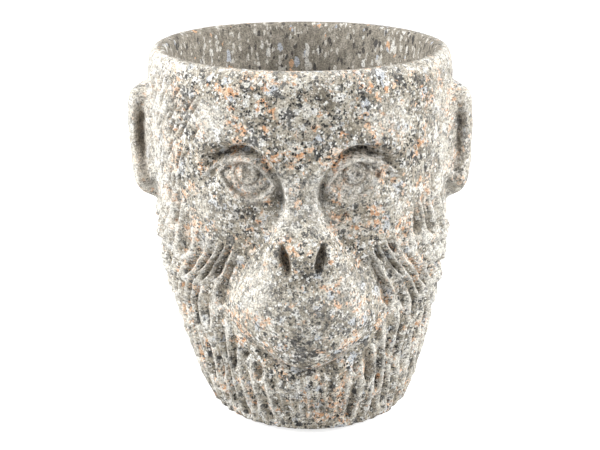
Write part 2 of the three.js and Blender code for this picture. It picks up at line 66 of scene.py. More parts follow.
def upTo(value, start, span):  # 1 up to a start, 0 a span further on
    return 1 - past(value, start, span)


def bell(t):  # 1 at 0, falling off on both sides
    return np.exp(-t * t)


def mix(a, b, t):  # a at 0, b at 1, straight between
    return a + (b - a) * t


def level(share):  # heights on the face are shares of the body's height
    return share * bodyHeight


def scatter(n):  # a steady random number from 0 to 1 for each whole number
    return np.mod(np.sin(n * 127.1 + 11.7) * 43758.5453, 1)


def wander(a, b):  # slow waves that never repeat on the pot, about -1 to 1
    first = np.sin(a * 1.7 + 2.1 * np.sin(b * 1.3 + 0.4))
    second = np.sin(b * 2.3 + 1.6 * np.sin(a * 0.9 + 2.2))
    return (first + second) / 2


def meshFromRings(name, rings):
    # rows x columns x 3 in millimetres, each row a closed loop, and both ends close on their middles
    rows, cols = rings.shape[:2]
    verts = np.vstack([rings.reshape(-1, 3), rings[0].mean(0), rings[-1].mean(0)])
    low, high = rows * cols, rows * cols + 1
    col = np.arange(cols)
    nxt = (col + 1) % cols
    row = np.arange(rows - 1)[:, None] * cols
    top = (rows - 1) * cols
    quads = np.stack([row + col, row + nxt, row + cols + nxt, row + cols + col], -1).reshape(-1, 4)
    lowFan = np.stack([nxt, col, np.full(cols, low)], -1)
    highFan = np.stack([top + col, top + nxt, np.full(cols, high)], -1)
    mesh = bpy.data.meshes.new(name)
    mesh.from_pydata((verts * mm).tolist(), [], quads.tolist() + lowFan.tolist() + highFan.tolist())
    mesh.update()
    mesh.shade_smooth()
    piece = bpy.data.objects.new(name, mesh)
    bpy.context.scene.collection.objects.link(piece)
    return piece


# the head: sizes in millimetres, levels as shares of the body's height, spacings from the middle line

headForm = {
    "lipRadius": 75.0, "baseHalfWidth": 50.3, "baseFront": 65.5, "baseBack": 53.0, "taperPower": 2.7,
    "lean": 4.8, "leanPower": 2.0, "baseRound": 2.0, "baseFlat": 16.0, "rough": 0.17,
    "lipInset": 5.5, "lipInsetBack": 3.0, "lipDrop": 13.0, "lipWall": 9.5, "lipInnerRound": 3.0,
    "lipWave": 0.35, "floorThickness": 12.0, "bowlFloorRadius": 45.0, "bowlFillet": 10.0,
    "columns": 500, "rows": 162, "lipRows": 13,
    "earCrowd": (1.2, 1.95, 0.3), "eyeCrowd": (1.1, 0.075),  # how much closer the mesh is, and where
}

eyeForm = {
    "socketSpacing": 28.0, "socketLevel": 0.657, "socketHalfWidth": 21.0, "socketHalfHeight": 27.3,
    "socketDepth": 10.5, "socketLow": 0.65, "socketEdge": 3.0, "socketSlope": 5.0, "socketCorner": 2.6,
    "socketFill": 0.9,  # how much of it the ball and the pouch fill
    "browSlope": 8.0, "browHeight": 1.8, "browWidth": 4.0, "browOff": 2.0,
    "templeSpacing": 40.0, "templeLevel": 0.87, "templeHeight": 1.8, "templeRadius": 13.0,
    "pouchSpacing": 30.0, "pouchLevel": 0.585, "pouchRadius": 17.0, "pouchInner": 24.0, "pouchStand": 1.5,
    "ballWidth": 13.0, "ballHeight": 10.4, "ballRise": 1.3,
    "pouchEdge": (0.75, 0.5), "ballEdge": (0.92, 0.5),  # where each dome falls, in its radii
    "spacing": 25.2, "level": 0.714, "halfWidth": 12.4, "halfHeight": 8.4, "tilt": 0.15,
    "lidStand": 2.0, "lidSpread": 12.0, "lidRecess": 2.2, "lidEdge": (0.88, 0.16),
    "softEdge": (0.65, 0.6), "softLid": 0.7, "softFade": 4.0,  # the right eye's lower lid
    "fold": (  # the crease of the upper lid: spacing and level
        (9.0, 0.670), (11.6, 0.695), (14.3, 0.721), (17.8, 0.743), (22.2, 0.761), (28.6, 0.767),
        (35.7, 0.757), (40.5, 0.736), (46.5, 0.708)),
    "foldStand": 2.3, "foldWidth": 1.0, "foldEnds": 4.0,
    "lowerStand": 1.2, "lowerWidth": 1.2, "lowerPlace": 1.12,
    "irisSpacing": 24.8, "irisLevel": 0.731, "irisRadius": 5.5, "irisGroove": 0.8, "irisWidth": 0.6,
    "pupilRadius": 2.2, "pupilDepth": 0.7,
    "crease": ((31.0, 0.733), (44.0, 0.688)),  # spacing and level of both ends
    "creaseWidth": 0.9, "creaseDepth": 1.0,
}

snoutForm = {
    "stations": (  # bridge, nose and muzzle as one mass: level, half its width, how far it stands out
        (0.764, 10.5, 0.0), (0.707, 8.0, 1.0), (0.667, 7.2, 2.2), (0.627, 8.8, 4.4), (0.587, 12.8, 7.8),
        (0.547, 17.8, 11.2), (0.513, 22.6, 13.2), (0.479, 27.0, 14.2), (0.444, 30.6, 15.2),
        (0.399, 34.3, 16.6), (0.370, 35.8, 17.0), (0.336, 36.0, 16.8), (0.308, 34.5, 15.8),
        (0.279, 31.0, 14.4), (0.256, 26.5, 12.4), (0.234, 20.5, 9.6), (0.215, 14.0, 6.4), (0.197, 5.0, 2.0),
    ),
    "bridgeSquareness": 4.5, "muzzleSquareness": 2.4, "squareLevel": 0.5, "squareFade": 0.12,
    "padLevel": 0.525, "padHeight": 2.2, "padHalfWidth": 9.0, "padHalfHeight": 8.0,
    "wingSpacing": 13.5, "wingLevel": 0.535, "wingHeight": 1.7, "wingWidth": 3.2, "wingTall": 8.0,
    "nostrilLevel": 0.520, "nostrilSpacing": 8.0, "nostrilHeight": 16.5, "nostrilWidth": 5.4,
    "nostrilDepth": 5.5, "nostrilLean": 0.24, "nostrilEdge": (0.3, 0.75),
    "mouthLevel": 0.199, "mouthHalfLength": 30.0, "mouthRise": 17.0, "mouthWidth": 1.4, "mouthDepth": 1.8,
    "mouthEnds": (0.75, 0.3), "lipHeight": 2.0, "lipBelow": 5.5, "lipWidth": 4.0,
    "chinStand": 7.0, "chinLevel": 0.15, "chinWidth": 27.0, "chinHeight": 15.0,
    "creaseDepth": 1.2, "creaseWidth": 1.1, "creaseSpacing": 6.0, "creaseSecond": 0.9,
    "creasePlace": (32.0, 0.475), "creaseSlope": 1.75, "creaseInner": 27.0, "creaseLevels": (0.27, 0.47),
}

hairForm = {
    "edge": (  # level and half-width of the bare face
        (0.0, 15.0), (0.1, 16.0), (0.15, 17.5), (0.18, 20.0), (0.2, 24.0), (0.23, 29.0), (0.26, 33.5),
        (0.3, 36.5), (0.36, 36.5), (0.42, 34.0), (0.47, 31.5), (0.505, 30.5), (0.525, 37.0), (0.55, 48.0),
        (0.6, 54.0), (0.8, 56.0), (0.96, 62.0)),
    "fade": 4.0, "chinDepth": 0.4, "chinFade": 8.0, "baseShare": 0.3, "baseFade": 12.0, "lipFade": 8.0,
    "count": 50, "crowd": 0.5, "fan": 0.27, "fanLevel": 0.42, "fanReach": 0.14, "wobble": 0.5,
    "depth": 4.2, "crest": 0.34, "gougeLength": 27.0, "gougeBack": 1.9, "gougeRound": 0.15,
    "gougeStart": 0.2, "gougeFade": 0.5, "gougeVary": 0.35, "strands": 3, "strandDepth": 0.3,
    "lumpLength": 12.65, "lumpDepth": 4.4, "lumpLeft": 0.62, "lumpRight": 0.33, "lumpVary": 0.35,
    "lumpRound": 0.2, "lumpMean": 0.25, "lumpPlace": (98.0, 0.42), "lumpReach": (30.0, 0.17),
    "templeDepth": 0.3, "templeLevel": 0.58, "templeFade": 0.1, "templeBack": (120.0, 20.0),
    "slashPitch": 4.4, "slashLength": 12.0, "slashDepth": 1.7, "slashWidth": 0.75, "slashEnds": (3.3, 2.2),
    "slashRight": 0.4, "slashLeftOut": 0.3, "slashFrom": 0.6,
    "slashLow": 0.15, "slashHigh": 1.1, "slashInner": (54.0, 44.0),  # slant and inner edge, eye to lip
}

earForm = {
    "lowest": 0.563, "height": 59.8, "reach": 10.7, "front": 1.22,
    "lobePower": 10.0, "topPower": 14.0, "topRound": 0.55,
    "plan": (  # along the head from the ear's front, away from it, and how much further in where hollow
        (0, 0, 0), (5, 0.7, 0), (10, 2.4, 0), (12.6, 3.6, 2.4), (13.2, 4.6, 3.8), (12.8, 5.6, 1.2),
        (13.4, 7.2, 0), (16.5, 9.4, 0), (21, 10, 0), (25, 9, 0), (27.6, 6.2, 0), (28.6, 3, 0), (31, 0.8, 0),
        (40, 0, 0),
    ),
    "hollowLow": 0.4, "hollowHigh": 0.81, "hollowRight": 0.3,
    "curl": 60.0, "curlMiddle": 0.58, "curlMost": 8.0, "curlFrom": 13.0,  # the helix's forward swing
    "middle": 18.0, "halfWidth": 20.0, "ovalMiddle": 0.52, "ovalHalfHeight": 0.6, "ovalEdge": 0.25,
    "innerEdge": 13.2, "innerWidth": 1.2, "innerShade": (0.7, 0.35),  # its painted shade on the left and right
    "seam": 29.6, "seamWidth": 2.4,
    "dish": (9.5, 0.52), "dishReach": (4.0, 0.22), "dishShade": 0.4,  # painted shade of a shallow hollow before the helix
}

shadeHighlightForm = {
    # spots on both sides of the face: spacing, level, half-width and half-height
    "pouchSpot": (28.0, 0.6021, 17.0, 17.0), "browSpot": (39.0, 0.778, 10.0, 6.0),
    "bossSpot": (43.0, 0.87, 8.5, 8.5), "boneSpot": (46.0, 0.62, 12.0, 12.0),
    "muzzleSpot": (0.0, 0.36, 22.0, 22.0),
    # painted shade, with some dirt in the hair's grooves, and how deep a cut, a socket or the hair has to
    # be to fill with it
    "cutFull": 4.0, "socketFull": 38.0, "hairFull": 2.2,
    "lineShade": 0.8, "mouthShade": 0.4, "pouchShade": 0.3, "browShade": 0.45, "hairShadeDirt": 0.65,
    "slashShade": 0.4, "irisShade": 0.8, "pupilShade": 0.6, "ballShade": 0.12,
    # painted highlights, with some wear on the hair's crests: bands across the snout as shares of its
    # half-width, the sides as angles from the front
    "bridgeBand": (0.9, 0.7), "bridgeLevels": (0.55, 0.77), "cheekBand": (0.72, 0.25),
    "cheekLevel": (0.43, 0.09), "sideFront": (0.75, 0.45), "sideBack": (1.35, 0.5), "sideBackLoss": 0.8,
    "sideLevel": 0.42, "sideFade": 25.0, "sidePale": (0.75, 0.45), "rightShare": 0.6,  # left and right
    "foldPale": 0.5, "lowerPale": 0.2, "ballPale": 0.55, "bridgePale": 0.7, "cheekPale": 0.8,
    "bonePale": 0.35, "muzzlePale": 0.18, "hairPale": 0.95, "hairCrest": 1.3, "lipPale": 0.4,
}


def curveThrough(at, values, x):
    # a smooth curve through given points: cubic pieces whose slopes come from their neighbours
    at, values = np.asarray(at, float), np.asarray(values, float)
    slopes = np.gradient(values, at)
    i = np.clip(np.searchsorted(at, x, side="right") - 1, 0, len(at) - 2)
    step = at[i + 1] - at[i]
    t = np.clip((x - at[i]) / step, 0, 1)
    bend = step * t * (1 - t) * ((1 - t) * slopes[i] - t * slopes[i + 1])
    return mix(values[i], values[i + 1], ease(t)) + bend


def plainSection(z):
    # round at the lip, and drawn in towards the base as a power of the distance from the lip
    drawn = np.power(np.clip(1 - z / bodyHeight, 0, 1), headForm["taperPower"])
    side = mix(headForm["lipRadius"], headForm["baseHalfWidth"], drawn)
    front = mix(headForm["lipRadius"], headForm["baseFront"], drawn)
    back = mix(headForm["lipRadius"], headForm["baseBack"], drawn)
    return side, front, back


def socketRelief(x, z):
    # an ellipse a side, squarer outwards and sloping outwards below: a trench along its rim, deepest by the
    # nose and the brow, that the eyeball and the pouch fill again as flat domes. Brow and temple are bells
    e = eyeForm
    up = (z - level(e["socketLevel"])) / e["socketHalfHeight"]
    middle = e["socketSpacing"] + e["socketSlope"] * np.power(np.clip(-up, 0, 2), 1.3)
    across = (np.abs(x) - middle) / e["socketHalfWidth"]
    square = np.where((across > 0) & (up > 0), e["socketCorner"], 2.0)
    ring = np.power(np.power(np.abs(across), square) + np.power(np.abs(up), square), 1 / square)
    byNose = ease((0.57 * up - 0.82 * across + 0.85) / 1.4)
    deep = e["socketDepth"] * byNose * mix(e["socketLow"], 1, past(up, -0.6, 0.8))
    wall = mix(e["socketEdge"], e["browSlope"], ease(2 * across) * ease(2 * up))
    inside = ease((1 - ring) * e["socketHalfWidth"] / wall)
    eye = np.hypot((np.abs(x) - e["spacing"]) / e["ballWidth"], (z - level(e["level"])) / e["ballHeight"])
    ball = upTo(eye, *e["ballEdge"])
    outwards, above = np.abs(x) - e["pouchSpacing"], z - level(e["pouchLevel"])
    below = np.hypot(outwards / np.where(outwards < 0, e["pouchInner"], e["pouchRadius"]),
                     above / np.where(above > 0, e["pouchInner"], e["pouchRadius"]))
    pouch = upTo(below, *e["pouchEdge"])
    hollow = deep * inside * (1 - e["socketFill"] * (1 - (1 - ball) * (1 - pouch)))
    overRim = ((ring - 1) * e["socketHalfHeight"] - e["browOff"]) / e["browWidth"]
    brow = e["browHeight"] * bell(overRim) * past(up, 0.1, 0.6)
    fromTemple = np.hypot(np.abs(x) - e["templeSpacing"], z - level(e["templeLevel"])) / e["templeRadius"]
    temple = e["templeHeight"] * bell(fromTemple)
    return brow + temple + e["pouchStand"] * pouch - hollow


def eyeRelief(x, z):
    # lids on a dome, open between two tilted parabolas where the ball shows, with a rim above and below, an
    # iris ring and a pupil. The right eye's lower lid runs out softly, and a crease falls outwards from its
    # upper lid. The other two results are painted shade along the lid's opening, in the iris, the pupil and
    # the crease, and painted highlights on the rims and the ball
    e, w = eyeForm, shadeHighlightForm
    dx = np.abs(x) - e["spacing"]
    dz = z - level(e["level"]) - e["tilt"] * dx
    opening = (dx / e["halfWidth"]) ** 2 + np.abs(dz) / e["halfHeight"]
    lids = e["lidStand"] * bell(np.hypot(dx, dz) / e["lidSpread"])
    droop = np.where(x > 0, 1, 0) * ease(-dz / e["softFade"])
    (start, span), (softStart, softSpan) = e["lidEdge"], e["softEdge"]
    shown = upTo(opening, mix(start, softStart, droop), mix(span, softSpan, droop))
    ball = shown * (e["ballRise"] * np.clip(1 - opening**2, 0, 1) - e["lidRecess"])
    along, high = np.array(e["fold"]).T
    fold = level(curveThrough(along, high, np.abs(x)))
    ends = past(np.abs(x), along[0], e["foldEnds"]) * ease((along[-1] - np.abs(x)) / e["foldEnds"])
    upper = e["foldStand"] * bell((z - fold) / e["foldWidth"]) * ends
    rim = (opening - e["lowerPlace"]) * e["halfHeight"] / e["lowerWidth"]
    lower = e["lowerStand"] * bell(rim) * ease(-dz / 3) * (1 - e["softLid"] * droop)
    (creaseFrom, startLevel), (creaseTo, endLevel) = e["crease"]
    falling = level(mix(startLevel, endLevel, (x - creaseFrom) / (creaseTo - creaseFrom)))
    crease = bell((z - falling) / e["creaseWidth"]) * past(x - creaseFrom, -2, 3)
    crease = crease * ease((creaseTo + 2 - x) / 4)
    away = np.hypot(np.abs(x) - e["irisSpacing"], z - level(e["irisLevel"]))
    ring = e["irisGroove"] * bell((away - e["irisRadius"]) / e["irisWidth"])
    pupil = e["pupilDepth"] * upTo(away - e["pupilRadius"], -0.5, 1.0)
    relief = lids + ball + upper + lower - shown * (ring + pupil) - e["creaseDepth"] * crease
    corner = ease((2.5 - dz) / 5) * mix(0.3, 1, past(dx, -6, 9)) * (1 - 0.8 * droop)
    iris = w["irisShade"] * bell((away - e["irisRadius"]) / 0.7) + w["pupilShade"] * pupil
    smooth = upTo(opening, 1, 0.6)
    # painted shade: along the lower, outer edge of the opening, in the iris ring and the pupil, faintly over
    # the ball, and in the crease
    lines = corner * bell((opening - 0.93) / 0.1) + shown * iris + w["ballShade"] * smooth + crease
    # painted highlights on the lid rims and the ball
    rims = w["foldPale"] * upper / e["foldStand"] + w["lowerPale"] * lower / e["lowerStand"]
    return relief, np.clip(lines, 0, 1), rims + w["ballPale"] * smooth


def snoutDistance(x, z):
    # 0 on the middle line, 1 on the snout's outline
    heights, widths, _ = np.array(snoutForm["stations"][::-1]).T
    return np.abs(x) / curveThrough(level(heights), widths, z)


def snoutRelief(x, z):
    # across the snout: flat on top and round at the sides, squarer on the bridge than on the muzzle, with
    # bells for the nose's pad and its wings
    s = snoutForm
    heights, _, stands = np.array(s["stations"][::-1]).T
    low, high = level(heights[0]), level(heights[-1])
    out = curveThrough(level(heights), stands, z) * ((z > low) & (z < high))
    onBridge = past(z, level(s["squareLevel"]), s["squareFade"] * bodyHeight)
    square = mix(s["muzzleSquareness"], s["bridgeSquareness"], onBridge)
    snout = out * np.power(1 - np.power(np.clip(snoutDistance(x, z), 0, 1), square), 0.7)
    pad = s["padHeight"] * bell(x / s["padHalfWidth"])
    pad = pad * bell((z - level(s["padLevel"])) / s["padHalfHeight"])
    wing = s["wingHeight"] * bell((np.abs(x) - s["wingSpacing"]) / s["wingWidth"])
    return snout + pad + wing * bell((z - level(s["wingLevel"])) / s["wingTall"])


def nostrilRelief(x, z):
    # a slit a side: an ellipse whose lower end leans to the middle
    n = snoutForm
    dx = np.abs(x) - n["nostrilSpacing"]
    dz = z - level(n["nostrilLevel"])
    c, s = math.cos(n["nostrilLean"]), math.sin(n["nostrilLean"])
    d = np.hypot((c * dx - s * dz) / n["nostrilWidth"], (s * dx + c * dz) / n["nostrilHeight"]) * 2
    return -n["nostrilDepth"] * upTo(d, *n["nostrilEdge"])


def mouthRelief(x, z):
    # a groove on a parabola, with bells for the lower lip and the chin. The second result is 1 in the groove
    n = snoutForm
    along = x / n["mouthHalfLength"]
    line = level(n["mouthLevel"]) + n["mouthRise"] * along**2
    fade = upTo(np.abs(along), *n["mouthEnds"])
    groove = bell((z - line) / n["mouthWidth"])
    lip = n["lipHeight"] * bell((z - line + n["lipBelow"]) / n["lipWidth"])
    chin = n["chinStand"] * bell(x / n["chinWidth"]) * bell((z - level(n["chinLevel"])) / n["chinHeight"])
    return (lip - n["mouthDepth"] * groove) * fade + chin, groove * fade


def creaseRelief(x, z):
    # folds of skin from the nose's wings down the cheeks: two grooves a side, by the distance from a line
    n = snoutForm
    across, share = n["creasePlace"]
    lowest, highest = n["creaseLevels"]
    away = (z - level(share) + n["creaseSlope"] * (np.abs(x) - across)) / 2.0
    where = past(np.abs(x), n["creaseInner"], 5) * past(z, level(lowest), 12) * upTo(z, level(highest), 8)
    second = n["creaseSecond"] * bell((away - n["creaseSpacing"]) / n["creaseWidth"])
    return -n["creaseDepth"] * (bell(away / n["creaseWidth"]) + second) * where


def hairCover(x, z, turn):
    # 0 on the bare face, 1 on the beard, the cheeks and the back, and a share on the chin
    h = hairForm
    heights, widths = np.array(h["edge"]).T
    cover = ease((np.abs(x) - curveThrough(level(heights), widths, z)) / h["fade"] + 0.5)
    chin = h["chinDepth"] * ease((level(snoutForm["mouthLevel"]) - z) / h["chinFade"])
    return np.where(np.abs(turn) > np.pi / 2, 1, np.maximum(cover, chin))


def tufts(t):
    # a row of tufts upwards, each standing out just above its lower end and lying down towards its top
    u = t - np.floor(t)
    return (1 - u) * ease(u / 0.16)


def lockTurn(step, z):
    # the angle round the head of a line between the locks: steps are closer together on the face, the locks
    # fan out over the cheeks as they fall, and they waver
    h = hairForm
    fan = np.sin(step) * np.abs(np.sin(step)) * np.tanh((level(h["fanLevel"]) - z) / level(h["fanReach"]))
    waver = h["wobble"] * (2 * np.pi / h["count"]) * np.sin(step) * wander(5 * np.abs(step), z / 21)
    return step - h["crowd"] * np.sin(step) + h["fan"] * fan + waver


def hairRelief(step, arc, z):
    # gouges side by side round the head with narrow crests between them, each one long, round at its lower
    # end and shallower upwards, longer at the back, with fine strands, and short lumps beside the cheeks
    h = hairForm
    s = np.abs(arc)
    phase = step / (2 * np.pi) * h["count"] + 0 * z
    cell = np.floor(phase)
    across = np.abs(2 * (phase - cell) - 1)
    back = past(np.abs(cell + 0.5) * 2 * np.pi / h["count"], 2.1, 0.6)
    place = z / (h["gougeLength"] * mix(1, h["gougeBack"], back)) + scatter(cell) - h["gougeRound"] * across
    up = place - np.floor(place)
    vary = 1 + h["gougeVary"] * (scatter(cell + 9 * np.floor(place)) - 0.5)
    deep = (1 - across**1.1) * ease(up / h["gougeStart"]) * (1 - h["gougeFade"] * up) * vary
    strands = np.cos(2 * np.pi * (h["strands"] * phase + 0.5 * wander(s / 7, z / 16)))
    locks = h["depth"] * (h["crest"] - deep) + h["strandDepth"] * strands
    start = np.where(cell < 0, h["lumpLeft"], h["lumpRight"])
    start = start + h["lumpVary"] * scatter(1.7 * np.floor(cell / 2))
    lump = tufts(z / h["lumpLength"] + start - h["lumpRound"] * across) - h["lumpMean"]
    (placeAlong, placeLevel), (reachAlong, reachLevel) = h["lumpPlace"], h["lumpReach"]
    outer = bell((s - placeAlong) / reachAlong) * bell((z - level(placeLevel)) / level(reachLevel))
    high = past(z, level(h["templeLevel"]), level(h["templeFade"])) * upTo(s, *h["templeBack"])
    ends = ease((bodyHeight - 0.5 * headForm["lipDrop"] - z) / h["lipFade"])
    ends = ends * mix(h["baseShare"], 1, ease(z / h["baseFade"]))
    return (locks * mix(1, h["templeDepth"], high) + h["lumpDepth"] * outer * lump) * ends


def slashes(x, arc, z):
    # thin cuts over the temples, 1 along each one: a bell across it, fading out at both ends. They lean back
    # from the lip at the top and stand nearly upright beside the eyes
    h = hairForm
    s = np.abs(arc)
    low, high = h["slashLow"], h["slashHigh"]
    reach = bodyHeight - level(h["slashFrom"])
    up = np.clip((z - level(h["slashFrom"])) / reach, 0, 1)
    run = s + low * z + 0.5 * (high - low) * reach * up**2
    row = np.floor(run / h["slashPitch"])
    step = z / h["slashLength"] + scatter(row + np.where(arc < 0, 300, 0))
    beside = (run / h["slashPitch"] - row - 0.5) * h["slashPitch"] / np.hypot(1, mix(low, high, up))
    lengthwise = np.abs(step - np.floor(step) - 0.5) * h["slashLength"]
    there = scatter(row * 3.7 + np.floor(step) * 1.9) > h["slashLeftOut"]
    there = there * np.where(arc > 0, h["slashRight"], 1)
    inner, upper = h["slashInner"]
    area = past(np.abs(x), mix(inner, upper, past(up, 0.25, 0.35)), 6) * upTo(s, *h["templeBack"])
    ends = ease(up / 0.12) * ease((bodyHeight - 0.3 * headForm["lipDrop"] - z) / 6)
    return bell(beside / h["slashWidth"]) * upTo(lengthwise, *h["slashEnds"]) * there * area * ends


def earShift(turn, z, radius):
    # how far a point of the head's side moves along the head and away from it, where the ear stands: the
    # plan's curve at full size, shrunk towards the lobe, rounded off at the top and kept to an oval seen
    # from the side. The third result is painted shade: in the slot, over a dish-shaped patch before the
    # helix, along its inner edge and in the seam behind it
    e = earForm
    v = (z - level(e["lowest"])) / e["height"]
    w = np.clip(v, 0, 1)
    size = (1 - np.power(1 - w, e["lobePower"])) * np.power(1 - np.power(w, e["topPower"]), e["topRound"])
    along, away, deep = np.array(e["plan"], float).T
    steps = np.hypot(np.diff(along), np.diff(away))
    run = np.concatenate([[0], np.cumsum(steps)]) / steps.sum()
    t = (np.abs(turn) - e["front"]) * radius / along[-1]
    on = (t > 0) & (t < 1) & (v > 0) & (v < 1)
    t = np.clip(t, 0, 1)
    hollow = past(v, e["hollowLow"], 0.15) * ease((e["hollowHigh"] - v) / 0.08)
    hollow = hollow * np.where(turn > 0, e["hollowRight"], 1)
    swing = np.minimum(e["curlMost"], e["curl"] * (w - e["curlMiddle"]) ** 2)
    plain = curveThrough(run, along, t)
    place = plain - swing * ease(plain / e["curlFrom"])
    oval = np.hypot((place - e["middle"]) / e["halfWidth"], (w - e["ovalMiddle"]) / e["ovalHalfHeight"])
    size = size * ease((1 - oval) / e["ovalEdge"])
    slot = hollow * curveThrough(run, deep, t)
    moved = place + slot - t * along[-1]
    lifted = curveThrough(run, away, t) * e["reach"] / away.max()
    edgeLeft, edgeRight = e["innerShade"]
    edge = bell((plain - e["innerEdge"]) / e["innerWidth"]) * np.where(turn > 0, edgeRight, edgeLeft)
    edge = edge + bell((plain - e["seam"]) / e["seamWidth"])
    (dishAlong, dishUp), (dishWide, dishTall) = e["dish"], e["dishReach"]
    dish = e["dishShade"] * bell(np.hypot((plain - dishAlong) / dishWide, (w - dishUp) / dishTall))
    paintedShade = slot / deep.max() + edge * past(v, 0.08, 0.2) * ease((0.97 - v) / 0.12) + dish
    return [np.where(on, amount, 0) for amount in (moved * np.minimum(size, 1), lifted * size, paintedShade)]


def besideEar(turn, z, radius):
    # 0 in the oval that an ear grows from, 1 outside it
    e = earForm
    across = ((np.abs(turn) - e["front"]) * radius - e["middle"]) / e["halfWidth"]
    up = (z - level(e["lowest"])) / (e["height"] / 2) - 1
    return past(np.hypot(across, up), 1, e["ovalEdge"])


def pitting(x, y, z):
    # the cement's roughness, about -3 to 3: fine waves over the front and over the sides, and slower ones
    fine = wander(x / 2.6 + 3, z / 2.9) + wander(y / 2.7, z / 3.3 + 5)
    return fine + wander(x / 6 + y / 7, z / 8)


def spot(x, z, place):
    # a bell over an ellipse on each side of the face
    across, share, wide, tall = place
    return bell(np.hypot((np.abs(x) - across) / wide, (z - level(share)) / tall))


def faceShade(x, z, cuts, sockets, lines, mouthLine):
    # painted shade in cuts and sockets by their depth, along the lines, and in spots below the eyes and at
    # the brows
    w = shadeHighlightForm
    deep = -cuts / w["cutFull"] - sockets / w["socketFull"]
    drawn = w["lineShade"] * lines + w["mouthShade"] * mouthLine
    spots = w["pouchShade"] * spot(x, z, w["pouchSpot"]) + w["browShade"] * spot(x, z, w["browSpot"])
    return np.clip(deep + drawn + spots, 0, 1)


def faceHighlight(x, z):
    # painted highlights: pale bands along the nose's bridge and on the muzzle's cheeks, and spots on the
    # temples' bosses, the cheekbones and the muzzle, stronger on the left
    w = shadeHighlightForm
    left = np.where(x < 0, 1, w["rightShare"])
    across = snoutDistance(x, z)
    (bridgeAt, bridgeReach), (lowest, highest) = w["bridgeBand"], w["bridgeLevels"]
    (cheekAt, cheekReach), (cheekLevel, cheekTall) = w["cheekBand"], w["cheekLevel"]
    bridge = bell((across - bridgeAt) / bridgeReach) * past(z, level(lowest), 12)
    bridge = bridge * ease((level(highest) - z) / 12)
    cheek = bell((across - cheekAt) / cheekReach) * bell((z - level(cheekLevel)) / level(cheekTall))
    bands = w["bridgePale"] * bridge + w["cheekPale"] * cheek * left
    spots = w["bonePale"] * spot(x, z, w["boneSpot"]) + w["muzzlePale"] * spot(x, z, w["muzzleSpot"])
    return bands + spots + spot(x, z, w["bossSpot"]) * left


def sideHighlight(x, z, turn):
    # painted highlight on the sides of the head from the temples back to the ears, fading below the cheeks
    w = shadeHighlightForm
    left, right = w["sidePale"]
    angle = np.abs(turn)
    sides = past(angle, *w["sideFront"]) * (1 - w["sideBackLoss"] * past(angle, *w["sideBack"]))
    return np.where(x < 0, left, right) * sides * past(z, level(w["sideLevel"]), w["sideFade"])


def runningTotal(density):
    # the area under a density up to each place
    return np.concatenate([[0], np.cumsum((density[1:] + density[:-1]) / 2)])


def columnSteps(count):
    # steps round the head, from the back once round, closer together on the ears
    crowd, middle, reach = headForm["earCrowd"]
    fine = np.linspace(-np.pi, np.pi, 7201)
    total = runningTotal(1 + crowd * bell((np.abs(fine) - middle) / reach))
    return np.interp(np.arange(count) / count * total[-1], total, fine)


def bodyRows(shoulder):
    # heights from the base to the lip's shoulder, closer together at the eyes
    crowd, reach = headForm["eyeCrowd"]
    fine = np.linspace(headForm["baseRound"], shoulder, 3201)
    total = runningTotal(1 + crowd * bell((fine / bodyHeight - eyeForm["level"]) / reach))
    return np.interp(np.linspace(0, total[-1], headForm["rows"]), total, fine)


def headPoints(step, z):
    # the outside of the head: an oval section, pushed forward by the face and outward by the hair and the
    # ears, drawn in to the crest of the lip along a quarter of an ellipse, and leaning a little to one side
    # below. The other two results are how much painted shade and dirt, and how much painted highlight and
    # wear, each point gets
    f, w = headForm, shadeHighlightForm
    turn = lockTurn(step, z)
    side, front, back = plainSection(z)
    depth = np.where(np.cos(turn) > 0, front, back)
    x = side * np.sin(turn)
    y = -depth * np.cos(turn)
    facing = ease(np.cos(turn) / 0.5)
    sockets = socketRelief(x, z)
    cuts = nostrilRelief(x, z) + creaseRelief(x, z)
    eyes, lines, pale = eyeRelief(x, z)
    mouth, mouthLine = mouthRelief(x, z)
    skin = sockets + eyes + snoutRelief(x, z) + mouth + cuts
    earAlong, earAway, earShade = earShift(turn, z, side)
    beside = besideEar(turn, z, side)
    marks = slashes(x, turn * side, z) * beside
    locks = hairCover(x, z, turn) * hairRelief(step, turn * side, z) * beside
    hair = locks - hairForm["slashDepth"] * marks
    rise = np.clip((z - bodyHeight + f["lipDrop"]) / f["lipDrop"], 0, 1)
    inset = mix(f["lipInset"], f["lipInsetBack"], ease(0.5 - 0.5 * np.cos(turn)))
    out = hair + earAway - inset * (1 - np.sqrt(1 - rise**2))
    rough = f["rough"] * pitting(x, y, z)
    out = out + (rough - 4 * f["rough"]) * (1 - 0.5 * rise)  # always inwards, and less on the lip
    lean = f["lean"] * np.power(np.clip(1 - z / bodyHeight, 0, 1), f["leanPower"])
    wave = f["lipWave"] * rise**4 * (1 - np.sin(3 * turn + 1.0) * np.cos(2 * turn))
    px = x + out * np.sin(turn) + earAlong * np.sign(turn) * np.cos(turn) + lean
    py = y - out * np.cos(turn) + earAlong * np.abs(np.sin(turn)) - skin * facing
    # painted shade, with some dirt, in the hair's grooves; painted shade in the slashes, round the ears and
    # on the face
    shadeAndDirt = w["hairShadeDirt"] * np.clip(-hair / w["hairFull"], 0, 1) + w["slashShade"] * marks + earShade
    shadeAndDirt = shadeAndDirt + facing * faceShade(x, z, cuts, sockets, lines, mouthLine)
    # painted highlights on the face, the sides and the lip's top; the pale hair crests are painted highlight
    # and wear
    highlightAndWear = facing * (pale + faceHighlight(x, z)) + sideHighlight(x, z, turn)
    highlightAndWear = highlightAndWear + w["hairPale"] * np.clip(hair / w["hairCrest"], 0, 1) + w["lipPale"] * rise**3
    return np.stack([px, py, z - wave], -1), np.clip(shadeAndDirt, 0, 1), np.clip(highlightAndWear, 0, 1)


def bowlRadius(z):
    # a straight taper from the lip down to the floor
    f = headForm
    inside = f["lipRadius"] - f["lipWall"]
    return mix(f["bowlFloorRadius"], inside, (z - f["floorThickness"]) / (bodyHeight - f["floorThickness"]))


